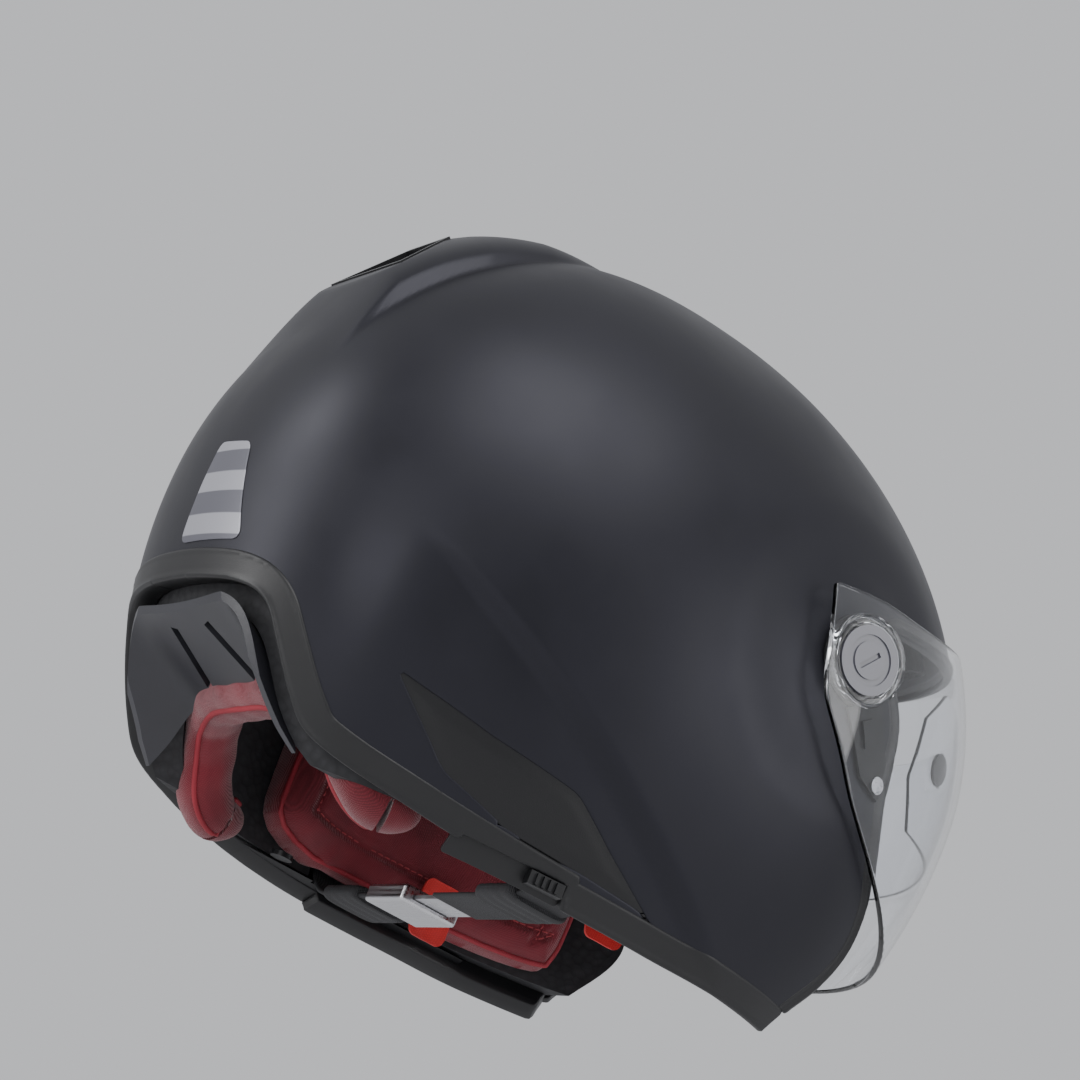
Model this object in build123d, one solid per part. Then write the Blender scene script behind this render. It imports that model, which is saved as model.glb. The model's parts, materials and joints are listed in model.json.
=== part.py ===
"""Open face motorcycle helmet. Millimetres, +Z up, the face looks towards -Y, the wearer's right is -X.
Each part is drawn from the zero of the outside form. It is then moved so that the origin is under the middle
of the whole length, on the plane that the bottom rim stands on."""

import os
from math import cos, pi, radians, sin

from build123d import *

# --- driving dimensions -------------------------------------------------------------------------
# The outside form: flattened ovals stacked from the rim to the crown.
HALF_WIDTH = 126.0  # at the waist, the widest level
REAR = 158.5  # rearmost point from the origin, at the waist
FRONT = 172.5  # where the form would reach in front, which only the visor follows
CROWN = 257.0  # height of the crown, without the crest
WAIST = 108.5  # height of the widest level
LEAN = 9.7  # how far the crown leans to the rear
SQUARENESS = 2.25  # 2 would make each level an ellipse
DOME_POWER = 1.98
TUCK_SIDE, TUCK_REAR, TUCK_FRONT = 0.22, 0.19, 0.16  # how far the levels draw in below the waist
FORM_FOOT = -14.0  # the form starts below the rim, and is cut there
MIDDLE_SHIFT = 9.1  # from the form's zero to the middle of the whole length, visor included

SHELL_THICKNESS = 4.0
CAVITY = dict(half_width=95.0, rear=127.0, front=140.0, crown=219.0, tuck_side=0.1, tuck_rear=0.12)
CROWN_PAD_THICKNESS = 8.0
NECK_ROLL_DEPTH, NECK_ROLL_PROUD = 21.0, 9.0  # the roll stands proud of the diffuser's inner end
BETWEEN_PARTS = 0.3  # gap between curved faces that lie on each other

# Visor, seen from the side as (y, z), and its pivot
PIVOT_Y, PIVOT_Z = -57.0, 129.0
VISOR_GAP = 2.2
VISOR_THICKNESS = 2.2
VISOR_TRAVEL = 42.0
VISOR_TIP = (-34, 149)
VISOR_REAR = [(-38, 128), (-43, 110), (-58, 95.5)]
VISOR_LOWER = [(-58, 95.5), (-78, 79), (-113, 61), (-150, 48), (-190, 42)]
VISOR_TOP = [(-34, 149), (-60, 154.6), (-88, 158), (-117, 165), (-150, 176), (-190, 184)]
TEMPLE_DIP = 3.0  # the shell draws in round the pivot, so that the turning visor clears it
TEMPLE_FLAT_R, TEMPLE_FADE_R = 34.0, 62.0

# Hub: the base plate's boss, the visor's ring that turns on it and the cap that holds it
HUB_PIN_R = 9.0
HUB_HOLE_R = 9.3
HUB_RING_R = 16.0
HUB_SEAT_R = 13.5
HUB_CAP_R = 12.9
HUB_RING_IN, HUB_SEAT, HUB_FACE = 121.6, 124.5, 126.4  # distances from the middle plane
HUB_CAP_GAP = 0.4

# Face opening, seen from the side as (y, z)
OPENING = [(-97, -6), (-104, 10), (-114, 26), (-118, 42), (-113, 58), (-103, 72), (-94, 88), (-91.5, 104)]
OPENING += [(-88, 119), (-78, 133), (-71, 143), (-74, 150), (-86, 153.5), (-117, 159), (-150, 168)]
OPENING += [(-190, 173)]
GASKET_WIDTH = 5.0

# Neck opening
TRIM_HEIGHT = 11.0
TRIM_PROUD = 1.2
TRIM_DEPTH = 9.0
ARCH = [(103, -6), (99, 1), (87, 8), (76, 13.5), (68, 20), (64.5, 30), (60, 46), (55, 57), (44, 61.5)]
ARCH += [(22, 62.5)]
ARCH_FRONT_Y = 8.0
FUNNEL_REAR_Y, FUNNEL_FRONT_Y = 149.0, 108.0
DIFFUSER_THICKNESS = 2.4

# Crest and exhaust
# Each is (y, half width, rise over the plain form)
CREST_SECTIONS = [(28, 16, -1.5), (52, 24, 3.0), (78, 30, 8.0), (104, 33, 11.5), (122, 33, 13.0)]
CREST_SECTIONS += [(138, 32, 14.0)]
EXHAUST_TOP, EXHAUST_FOOT = (107.0, 236.0), (135.0, 200.0)  # the sloped rear face, as (y, z)
EXHAUST_HALF_HEIGHT, EXHAUST_TOP_HALF_WIDTH, EXHAUST_FOOT_HALF_WIDTH = 16.0, 15.0, 27.0
EXHAUST_DEPTH, EXHAUST_RIM, MESH_DEPTH, MESH_THICKNESS, MESH_PITCH, MESH_HOLE = 5.0, 3.0, 2.5, 1.5, 6.0, 4.4

# Side crease: below it the side of the shell is set in
CREASE_DEPTH = 4.5
CREASE_Y, CREASE_Z, CREASE_SLOPE = 25.0, 51.0, 0.525

SIDE_PANEL = [(100, 49), (62, 41), (25, 36.5), (2, 24), (-17, 15), (-33, 8), (-20, 12.5), (40, 15.5)]
SIDE_PANEL += [(70, 24)]
SIDE_PANEL_THICKNESS = 2.0

# Chin strap, seen from the front as (x, z) from its anchor to the middle
STRAP_WIDTH, STRAP_THICKNESS, STRAP_Y = 22.0, 1.8, 2.0
STRAP_START, STRAP_BEND, STRAP_TURN = (98.0, 31.0), (87.0, 13.5), (76.0, 6.6)
STRAP_LEFT_END, STRAP_RIGHT_END, STRAP_LIE = 35.0, 12.0, 5.0
ANCHOR_CENTRE, ANCHOR_TILT, ANCHOR_SIZE = (101.0, 29.5), 22.0, (1.5, 26.0, 16.0)
RIVET_R = 2.5

# Sun visor: a screen turned about the visor's pivot line, stowed between shell and foam
SUN_REACH, SUN_HALF_WIDTH, SUN_POWER, SUN_THICKNESS = 97.0, 96.0, 2.2, 2.0
SUN_ARM_X, SUN_ARM_R, SUN_EYE_R, SUN_PIN_R, SUN_PIN_FIT = 93.0, 40.0, 7.0, 2.5, 0.06
SUN_LOW, SUN_HIGH, SUN_TRAVEL = 26.0, 72.0, 30.0

# Slider that moves the sun visor, in the right side of the trim
SLIDER_LENGTH, SLIDER_HEIGHT, SLIDER_TRAVEL = 14.0, 5.0, 26.0
SLIDER_Y, SLIDER_Z = 18.0, 5.6

# Brow vent
VENT_LOW, VENT_HIGH, VENT_HALF_WIDTH, VENT_PROUD = 186.0, 203.0, 29.0, 2.0
VENT_SLIDER_HALF_WIDTH, VENT_SLIDER_HEIGHT, VENT_TRAVEL = 18.0, 5.0, 5.0

ALL = 400.0  # longer than the helmet any way
parts = {}


# --- the form --------------------------------------------------------------------------------
def smooth(t):
    t = min(max(t, 0.0), 1.0)
    return t * t * (3 - 2 * t)


def level(z, grow=0.0, half_width=HALF_WIDTH, rear=REAR, front=FRONT, crown=CROWN, tuck_side=TUCK_SIDE,
          tuck_rear=TUCK_REAR):
    """Half width, front y and rear y of the form at height z, with the form grown by grow all round."""
    half_width, rear, front, crown = half_width + grow, rear + grow, front + grow, crown + grow
    if z >= WAIST:
        t = (z - WAIST) / (crown - WAIST)
        size = max(1 - t**DOME_POWER, 0.0) ** (1 / DOME_POWER)
        shift = LEAN * t**1.5
        return half_width * size, shift - front * size, shift + rear * size
    t = (WAIST - z) / WAIST
    t2 = t * t
    return half_width * (1 - tuck_side * t2), -front * (1 - TUCK_FRONT * t2), rear * (1 - tuck_rear * t2)


def inset(y, z):
    """How far the shell's side is set in from the plain form, round the pivot and below the crease."""
    from_pivot = ((y - PIVOT_Y) ** 2 + (z - PIVOT_Z) ** 2) ** 0.5
    temple = TEMPLE_DIP * smooth((TEMPLE_FADE_R - from_pivot) / (TEMPLE_FADE_R - TEMPLE_FLAT_R))
    crease = CREASE_Z + CREASE_SLOPE * (y - CREASE_Y)
    below = smooth((crease - z) / 12 + 0.3) * smooth((112 - y) / 30) * smooth((y + 70) / 40)
    return temple + CREASE_DEPTH * below


def level_points(z, grow=0.0, detail=True, count=48, **size):
    half_width, front, rear = level(z, grow, **size)
    middle, half_length = (front + rear) / 2, (rear - front) / 2
    points = []
    for i in range(count):
        a = 2 * pi * i / count
        across, along = sin(a), cos(a)
        x = half_width * abs(across) ** (2 / SQUARENESS) * (1 if across > 0 else -1)
        y = middle + half_length * abs(along) ** (2 / SQUARENESS) * (1 if along > 0 else -1)
        if detail:
            x -= inset(y, z) * x / half_width
        points.append((x, y, z))
    return points


def shared_parameters():
    """Where each point lies along its level, the same for every level, so that the loft stays light."""
    points = level_points(WAIST, detail=False)
    lengths = [(Vector(*points[i]) - Vector(*points[i - 1])).length for i in range(1, len(points))]
    lengths.append((Vector(*points[0]) - Vector(*points[-1])).length)
    return [sum(lengths[:i]) / sum(lengths) for i in range(len(points) + 1)]


def form(grow=0.0, detail=True, **size):
    """The solid form, grown by grow."""
    shared = shared_parameters()
    top = size.get("crown", CROWN) + grow
    low = [FORM_FOOT, 0, 10, 20, 30, 40, 50, 60, 72, 84, 96, WAIST]
    high = [WAIST + (top - WAIST) * sin(radians(a)) for a in (7, 14, 21, 28, 35, 42, 49, 56, 63, 70, 77, 83)]
    wires = []
    for z in low + high:
        points = [Vector(*p) for p in level_points(z, grow, detail, **size)]
        wires.append(Wire([Edge.make_spline(points, periodic=True, parameters=shared)]))
    tip = Vertex(0, LEAN, top)
    return Solid.make_loft([*wires, tip])


def reach(grow, y, z):
    """Distance of the form's side from the middle plane at (y, z)."""
    half_width, front, rear = level(z, grow)
    share = abs(y - (front + rear) / 2) / ((rear - front) / 2)
    x = half_width * max(1 - share**SQUARENESS, 0) ** (1 / SQUARENESS)
    return x - inset(y, z)


def crown_height(y, grow=0.0):
    """Height of the form on the middle plane at y."""
    low, high = WAIST, CROWN + grow
    for _ in range(40):
        z = (low + high) / 2
        _, front, rear = level(z, grow)
        if front < y < rear:
            low = z
        else:
            high = z
    return low


# --- outlines as solids ----------------------------------------------------------------------
def grown(points, distance):
    """An outline of points moved sideways by distance, to the right of the way that it runs."""
    moved = []
    for i, (u, v) in enumerate(points):
        before, after = points[max(i - 1, 0)], points[min(i + 1, len(points) - 1)]
        du, dv = after[0] - before[0], after[1] - before[1]
        size = (du * du + dv * dv) ** 0.5
        moved.append((u + dv / size * distance, v - du / size * distance))
    return moved


def prism_x(face, low=-ALL / 2, high=ALL / 2):
    """A face drawn on XY as (y, z) becomes a solid along X."""
    turn = Plane(origin=(low, 0, 0), x_dir=(0, 1, 0), z_dir=(1, 0, 0))
    return turn * extrude(face, high - low)


def prism_y(face, low, high):
    """A face drawn on XY as (x, z) becomes a solid along Y from low to high."""
    turn = Plane(origin=(0, high, 0), x_dir=(1, 0, 0), z_dir=(0, -1, 0))
    return turn * extrude(face, high - low)


def box(x, y, z):
    """A box from its low and high limits."""
    size = (x[1] - x[0], y[1] - y[0], z[1] - z[0])
    return Pos((x[0] + x[1]) / 2, (y[0] + y[1]) / 2, (z[0] + z[1]) / 2) * Box(*size)


def rod_x(radius, low, high, y=PIVOT_Y, z=PIVOT_Z):
    return Pos((low + high) / 2, y, z) * Rot(0, 90, 0) * Cylinder(radius, high - low)


def mirrored(solid):
    return mirror(solid, Plane.YZ)


def opening(grow=0.0):
    """The face opening as a prism across the helmet, grown by grow."""
    points = grown(OPENING, grow)
    far = [points[-1], (-260, points[-1][1]), (-260, -60), (points[0][0], -60), points[0]]
    return prism_x(make_face([Spline(*points), Polyline(*far)]))


def arch(grow=0.0, front=ARCH_FRONT_Y):
    """The rear arch as a prism from front to the rear, grown by grow."""
    right = grown(ARCH, grow)
    points = right + [(-x, z) for x, z in reversed(right)]
    foot = [points[-1], (points[-1][0], -60), (points[0][0], -60), points[0]]
    return prism_y(make_face([Spline(*points), Polyline(*foot)]), front, ALL / 2)


def funnel_outline(y, foot, shoulder, height, shrink):
    foot, shoulder, height = foot - shrink, shoulder - shrink, height - shrink
    right = [(foot, -6), (foot - 1.5, 12), (shoulder + 6, height - 16), (shoulder - 3, height - 3)]
    right += [(shoulder * 0.5, height)]
    points = [Vector(x, y, z) for x, z in right] + [Vector(-x, y, z) for x, z in reversed(right)]
    return Wire([Edge.make_spline(points), Edge.make_line(points[-1], points[0])])


def funnel(shrink):
    """The space inside the diffuser: the rear arch, drawn in towards the neck."""
    wide = funnel_outline(FUNNEL_REAR_Y + 14, 70, 52, 66, shrink)
    narrow = funnel_outline(FUNNEL_FRONT_Y, 62, 44, 41, shrink)
    return Solid.make_loft([narrow, wide], ruled=True)


def funnel_neck(shrink):
    """The funnel's narrow end carried forwards, for the nape of the neck."""
    rear = funnel_outline(FUNNEL_FRONT_Y + 0.01, 62, 44, 41, shrink)
    front = funnel_outline(55, 62, 44, 41, shrink)
    return Solid.make_loft([front, rear], ruled=True)


def save(name, solid):
    parts[name] = solid


def largest(solid):
    """The piece without the slivers that were cut loose from it."""
    return max(solid.solids(), key=lambda piece: piece.volume)


def pair(name, right):
    """The right side's piece, at negative x, and its mirror image on the left."""
    save(name + "_right", right)
    save(name + "_left", mirrored(right))


def sheet(outer, inner, region, **size):
    """What lies in region between two grown forms."""
    return (form(outer, **size) & region) - form(inner, **size)


def outline_prism_x(points, grow=0.0, low=-ALL / 2, high=ALL / 2):
    face = make_face(Polyline(*points, close=True))
    return prism_x(offset(face, grow) if grow else face, low, high)


def outline_prism_y(points, grow=0.0, low=-ALL / 2, high=ALL / 2):
    face = make_face(Polyline(*points, close=True))
    return prism_y(offset(face, grow) if grow else face, low, high)


BELOW = box((-ALL, ALL), (-ALL, ALL), (-60, 0))


def slab(low, high):
    return box((-ALL, ALL), (-ALL, ALL), (low, high))


# --- crest and exhaust ---------------------------------------------------------------------------
def crest():
    """The raised hump on the rear of the crown, cut off by the sloped exhaust face."""
    wires = []
    for y, half_width, rise in CREST_SECTIONS:
        foot = crown_height(y) - 14
        arc = [(1.3 * half_width * cos(radians(a)), y, foot + (14 + rise) * sin(radians(a)) ** 0.8) for a in
               range(0, 181, 15)]
        points = [Vector(*p) for p in arc]
        wires.append(Wire([Edge.make_spline(points), Edge.make_line(points[-1], points[0])]))
    hump = Solid.make_loft(wires)
    (top_y, top_z), (foot_y, foot_z) = EXHAUST_TOP, EXHAUST_FOOT
    run, drop = foot_y - top_y, top_z - foot_z
    behind = [(foot_y + run, foot_z - drop), (top_y - run, top_z + drop), (ALL / 2, top_z + drop)]
    behind += [(ALL / 2, foot_z - drop)]
    return hump - outline_prism_x(behind)


def exhaust_plane(depth=0.0):
    (top_y, top_z), (foot_y, foot_z) = EXHAUST_TOP, EXHAUST_FOOT
    run, drop = foot_y - top_y, top_z - foot_z
    normal = Vector(0, drop, run).normalized()
    centre = Vector(0, (top_y + foot_y) / 2, (top_z + foot_z) / 2) - normal * depth
    return Plane(origin=centre, x_dir=(1, 0, 0), z_dir=normal)


def exhaust_block(shrink, depth, thickness):
    """A tapered block whose outer face is depth below the sloped face. It is narrower at the top."""
    top, foot, half = EXHAUST_TOP_HALF_WIDTH, EXHAUST_FOOT_HALF_WIDTH, EXHAUST_HALF_HEIGHT
    face = make_face(Polyline((top, -half), (-top, -half), (-foot, half), (foot, half), close=True))
    face = offset(face, -shrink, kind=Kind.INTERSECTION) if shrink else face
    return exhaust_plane(depth) * extrude(face, -thickness)


def exhaust():
    frame = exhaust_block(0.2, -0.6, EXHAUST_DEPTH + 0.4)
    frame = frame - exhaust_block(EXHAUST_RIM, -5, EXHAUST_DEPTH + 12)
    save("exhaust_frame", frame)
    mesh = exhaust_block(EXHAUST_RIM + 0.1, MESH_DEPTH, MESH_THICKNESS)
    holes = []
    for row in range(-2, 3):
        reach_x = int((17 + row * 3) / MESH_PITCH)
        for column in range(-reach_x, reach_x + 1):
            hole = Pos(column * MESH_PITCH, row * MESH_PITCH * 0.8, 0) * Box(MESH_HOLE, MESH_HOLE * 0.8, 20)
            holes.append(exhaust_plane(MESH_DEPTH) * hole)
    save("exhaust_mesh", mesh - holes)


# --- shell, trims and panels -------------------------------------------------------------------
def vent_outline(shrink=0.0):
    low, high, half = VENT_LOW + shrink, VENT_HIGH - shrink, VENT_HALF_WIDTH - shrink
    return outline_prism_y([(-half, low), (half, low), (half - 7, high), (-half + 7, high)], 0, -ALL / 2, 0)


def rivet(grow=0.0):
    x, z = ANCHOR_CENTRE
    return rod_x(RIVET_R + grow, -(x + 3.2), -(x - 2.0), STRAP_Y, z)


def outer_shell():
    shell = form() + crest() - form(-SHELL_THICKNESS)
    shell = shell - opening(GASKET_WIDTH) - arch(TRIM_HEIGHT) - slab(-60, TRIM_HEIGHT)
    pocket = outline_prism_x(SIDE_PANEL, 0.4) - form(-SIDE_PANEL_THICKNESS - 0.6)
    shell = shell - pocket - exhaust_block(0, -20, EXHAUST_DEPTH + 20)
    shell = shell - (vent_outline() - form(-1.2)) - rivet(0.05) - mirrored(rivet(0.05))
    hole = rod_x(2.0, -140, -80, *BASE_SCREW) - form(-1.7)
    save("outer_shell", largest(shell - hole - mirrored(hole)))


def side_panels():
    right = sheet(-0.3, -0.3 - SIDE_PANEL_THICKNESS, outline_prism_x(SIDE_PANEL, 0, -ALL / 2, 0))
    right = right - arch(TRIM_HEIGHT + 0.2) - slab(-60, TRIM_HEIGHT + 0.2)
    pair("side_panel", right)


def trims():
    band = arch(TRIM_HEIGHT) + slab(-60, TRIM_HEIGHT)
    trim = (form(TRIM_PROUD) & band) - form(-TRIM_DEPTH) - arch(0) - BELOW - opening(0)
    save("neck_trim", trim - slider_slot())
    ring = opening(GASKET_WIDTH) - opening(0) - slab(-60, TRIM_HEIGHT + 0.2)
    save("eyeport_gasket", sheet(0.8, -3.6, ring))


def slider_place():
    """Where the slider lies when the sun visor is up, with its local x along the trim, towards the rear."""
    start, end = SLIDER_Y, SLIDER_Y + SLIDER_TRAVEL
    low = Vector(-reach(0, start, SLIDER_Z), start, SLIDER_Z)
    high = Vector(-reach(0, end, SLIDER_Z), end, SLIDER_Z)
    along = (high - low).normalized()
    return Plane(origin=low, x_dir=along, z_dir=(0, 0, 1))


def slider_slot():
    length = SLIDER_LENGTH + SLIDER_TRAVEL + 2
    block = Pos(SLIDER_TRAVEL / 2, 0, 0) * Box(length, 12, SLIDER_HEIGHT + 0.8)
    return slider_place() * (Pos(0, 2.0, 0) * block)


def sun_slider():
    foot = Box(SLIDER_LENGTH, 4.2, SLIDER_HEIGHT)
    ribs = [Pos(x, 2.6, 0) * Box(1.2, 1.2, SLIDER_HEIGHT - 1) for x in (-4, -1.3, 1.3, 4)]
    save("sun_slider", slider_place() * (foot + ribs))


def brow_vent():
    housing = sheet(VENT_PROUD, -1.0, vent_outline(0.2))
    low = (VENT_LOW + VENT_HIGH - VENT_SLIDER_HEIGHT - VENT_TRAVEL) / 2
    half = VENT_SLIDER_HALF_WIDTH
    slot = outline_prism_y([(-half - 0.5, low - 0.6), (half + 0.5, low - 0.6),
                            (half + 0.5, low + VENT_SLIDER_HEIGHT + VENT_TRAVEL + 0.6),
                            (-half - 0.5, low + VENT_SLIDER_HEIGHT + VENT_TRAVEL + 0.6)], 0, -ALL / 2, 0)
    save("brow_vent_housing", housing - (slot - form(0.3)))
    body = outline_prism_y([(-half, low), (half, low), (half, low + VENT_SLIDER_HEIGHT),
                            (-half, low + VENT_SLIDER_HEIGHT)], 0, -ALL / 2, 0)
    save("brow_vent_slider", sheet(VENT_PROUD + 0.9, 0.7, body))


def rear_label():
    outline = outline_prism_y([(-7, 116), (-27, 115), (-39.5, 77), (-3, 76)], 0, 60, ALL / 2)
    save("rear_label", sheet(0.35, 0.05, outline))


DIFFUSER_CUT = [(90, -20), (96, 4), (116, 20), (132, 36), (144, 52), (151, 70), (300, 70), (300, -20)]


def rear_diffuser():
    wall = (funnel(0) - funnel(DIFFUSER_THICKNESS)) & form(-1.5)
    wall = wall - slab(-60, 4) - box((-ALL, ALL), (FUNNEL_REAR_Y, ALL), (-60, ALL))
    wall = wall - outline_prism_x(DIFFUSER_CUT)
    for side in (-1, 1):
        slot = Pos(side * 16, 126, 52) * Rot(0, 0, side * 14) * Box(4.5, 26, 40)
        wall = wall - slot
    save("rear_diffuser", wall)


# --- foam and padding ---------------------------------------------------------------------------
def cavity(grow=0.0):
    return form(grow, detail=False, **CAVITY)


def neck_space(grow):
    """The space that the neck opening needs: the funnel, and its narrow end carried forwards."""
    return funnel(-grow) + funnel_neck(-grow)


def sun_outline(grow):
    """Points (x, radius) across the sun visor, grown outwards."""
    half, reach_r = SUN_HALF_WIDTH + grow, SUN_REACH + grow
    points = []
    for i in range(-12, 13):
        x = (SUN_ARM_X) * sin(radians(i * 7.5))
        share = max(1 - (abs(x) / half) ** SUN_POWER, 0.0)
        points.append((x, max(reach_r * share ** (1 / SUN_POWER), SUN_ARM_R / 2)))
    return points


def turned_about_pivot(points, low, high):
    """A face with corners (x, radius) turned about the pivot line from angle low to high, up from level."""
    a = radians(high)
    corners = [Vector(x, PIVOT_Y - r * cos(a), PIVOT_Z + r * sin(a)) for x, r in points]
    outline = Wire([Edge.make_line(p, q) for p, q in zip(corners, corners[1:] + corners[:1])])
    return revolve(Face(outline), Axis((0, PIVOT_Y, PIVOT_Z), (1, 0, 0)), high - low)


def sun_visor():
    outer, inner = sun_outline(0), sun_outline(-SUN_THICKNESS)
    screen = turned_about_pivot(outer + inner[::-1], SUN_LOW, SUN_HIGH)
    for side in (-1, 1):
        near, far = sorted((side * (SUN_ARM_X - 1.0), side * (SUN_ARM_X + 1.0)))
        arm = [(near, 0.5), (far, 0.5), (far, SUN_ARM_R), (near, SUN_ARM_R)]
        screen = screen + turned_about_pivot(arm, SUN_LOW + 6, SUN_HIGH - 6)
        screen = screen + rod_x(SUN_EYE_R, near, far) - rod_x(SUN_PIN_R + SUN_PIN_FIT, near - 1, far + 1)
    save("sun_visor", screen)
    pins = [rod_x(SUN_PIN_R, *sorted((s * (SUN_ARM_X - 3), s * (SUN_ARM_X + 6)))) for s in (-1, 1)]
    save("sun_visor_pivots", Compound([p.solid() for p in pins]))


def sun_pocket():
    """The slot that the sun visor moves in, open towards the shell."""
    low, high = SUN_LOW - SUN_TRAVEL - 3, SUN_HIGH + 3
    inner = sun_outline(-SUN_THICKNESS - 1.5)
    far = [(SUN_ARM_X, 0.5), (125, 0.5), (125, 135), (-125, 135), (-125, 0.5), (-SUN_ARM_X, 0.5)]
    pocket = turned_about_pivot(inner + far, low, high)
    for side in (-1, 1):
        near, far_x = sorted((side * (SUN_ARM_X - 2.2), side * (SUN_ARM_X + 2.2)))
        pocket = pocket + rod_x(SUN_ARM_R + 2, near, far_x)
    return pocket


def strap_solid(thickness, width, end):
    """The right strap, from its anchor down the shell and in towards the middle."""
    points = [STRAP_START, STRAP_BEND, STRAP_TURN, (STRAP_TURN[0] - 24, STRAP_LIE), (end, STRAP_LIE)]
    outer = grown(points, -thickness / 2)
    inner = grown(points, thickness / 2)
    outline = [(-x, z) for x, z in outer + inner[::-1]]
    return outline_prism_y(outline, 0, STRAP_Y - width / 2, STRAP_Y + width / 2)


def anchor_block(grow):
    x, z = ANCHOR_CENTRE
    size = [s + 2 * grow for s in ANCHOR_SIZE]
    return Pos(-x, STRAP_Y, z) * Rot(0, -ANCHOR_TILT, 0) * Box(*size)


def foam():
    liner = form(-SHELL_THICKNESS - BETWEEN_PARTS) - cavity()
    trim_way = arch(TRIM_HEIGHT + BETWEEN_PARTS, -10.0) - form(-TRIM_DEPTH - 0.4)
    liner = liner - opening(GASKET_WIDTH + BETWEEN_PARTS) - trim_way
    liner = liner - slab(-60, TRIM_HEIGHT + 1) - neck_space(0.4) - sun_pocket()
    for side in (lambda s: s, mirrored):
        strap_way = strap_solid(STRAP_THICKNESS + 4, STRAP_WIDTH + 4, 40)
        liner = liner - side(strap_way) - side(anchor_block(1.5))
        liner = liner - side(rod_x(6, -112, -96, STRAP_Y, ANCHOR_CENTRE[1]))
    liner = liner - [rod_x(SUN_PIN_R, s * SUN_ARM_X - 8, s * SUN_ARM_X + 8) for s in (-1, 1)]
    save("eps_liner", largest(liner))


def pads():
    lower, deep = -0.4, -0.4 - CROWN_PAD_THICKNESS
    hollow = cavity(lower) - cavity(deep)
    front_clear = opening(12)
    brow_space = box((-ALL, ALL), (-ALL, -44), (0, 188))
    save("crown_pad", (hollow & slab(152, 300)) - brow_space - front_clear)
    save("brow_pad", (hollow & box((-ALL, ALL), (-ALL, -44.6), (150, 187))) - front_clear)
    face = Pos(0, -5, 0) * extrude(make_face(Ellipse(66, 118)), ALL)
    cheek = (cavity(lower) & box((-ALL, -30), (-92, 48), (13, 104))) - face - front_clear
    cheek = cheek - strap_solid(STRAP_THICKNESS + 3, STRAP_WIDTH + 4, 40) - anchor_block(2)
    pair("cheek_pad", cheek - box((-64.3, -61.7), (-40.3, -21.7), (4, 30.3)))
    neck = (cavity(lower) - cavity(-NECK_ROLL_DEPTH)) & box((-ALL, ALL), (57, ALL), (6, 72))
    neck = neck - funnel(-0.4) - funnel_neck(NECK_ROLL_PROUD)
    save("neck_pad", neck)


def cheek_plates():
    plate = sheet(-9.4, -19, box((-ALL, 0), (-62, 58), (8.2, 10.4))) - arch(0.5, -100)
    plate = plate - strap_solid(STRAP_THICKNESS + 2, STRAP_WIDTH + 2, 40)
    pair("cheek_plate", plate)
    snaps = []
    for y in (-38, 34):
        for side in (-1, 1):
            snaps.append(Pos(side * 76, y, 11.7) * Cylinder(4.5, 2.0))
    save("snap_buttons", Compound([s.solid() for s in snaps]))
    pair("emergency_tab", fillet(box((-64, -62), (-40, -22), (5, 30)).edges().filter_by(Axis.X), 4))


# --- visor and its hubs -------------------------------------------------------------------------
def visor_outline():
    rear = [VISOR_TIP, *VISOR_REAR]
    far = [VISOR_LOWER[-1], (-260, VISOR_LOWER[-1][1]), (-260, VISOR_TOP[-1][1]), VISOR_TOP[-1]]
    lines = [Spline(*rear), Spline(*VISOR_LOWER), Polyline(*far), Spline(*VISOR_TOP[::-1])]
    return prism_x(make_face(lines))


def visor():
    region = visor_outline()
    screen = sheet(VISOR_GAP + VISOR_THICKNESS, VISOR_GAP, region, detail=False)
    for side in (-1, 1):
        ring = rod_x(HUB_RING_R, *sorted((side * HUB_RING_IN, side * HUB_FACE)))
        seat = rod_x(HUB_SEAT_R, *sorted((side * HUB_SEAT, side * 140)))
        hole = rod_x(HUB_HOLE_R, *sorted((side * 100, side * 140)))
        screen = screen - rod_x(HUB_RING_R, *sorted((side * HUB_RING_IN, side * 140))) + ring - seat - hole
    save("visor", screen)
    window = outline_prism_x([(-260, 88), (-112, 88), (-100, 104), (-100, 128), (-112, 144), (-260, 147)])
    hole_for_pins = [rod_x(6.2, *sorted((s * 60, s * 120)), -118, 116) for s in (-1, 1)]
    insert = sheet(VISOR_GAP - 0.9, VISOR_GAP - 2.1, window, detail=False)
    save("fog_insert", insert - hole_for_pins)
    rods = [rod_x(5.8, *sorted((s * 60, s * 120)), -118, 116) for s in (-1, 1)]
    pins = [sheet(VISOR_GAP - 0.1, VISOR_GAP - 2.6, rod, detail=False) for rod in rods]
    save("insert_pins", Compound([p.solid() for p in pins]))


BASE_SCREW = (-85.0, 93.0)
BASE_TAIL = [(-66, 116), (-58, 111), (-76, 92), (-88, 88), (-90, 97), (-74, 120)]


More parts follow.
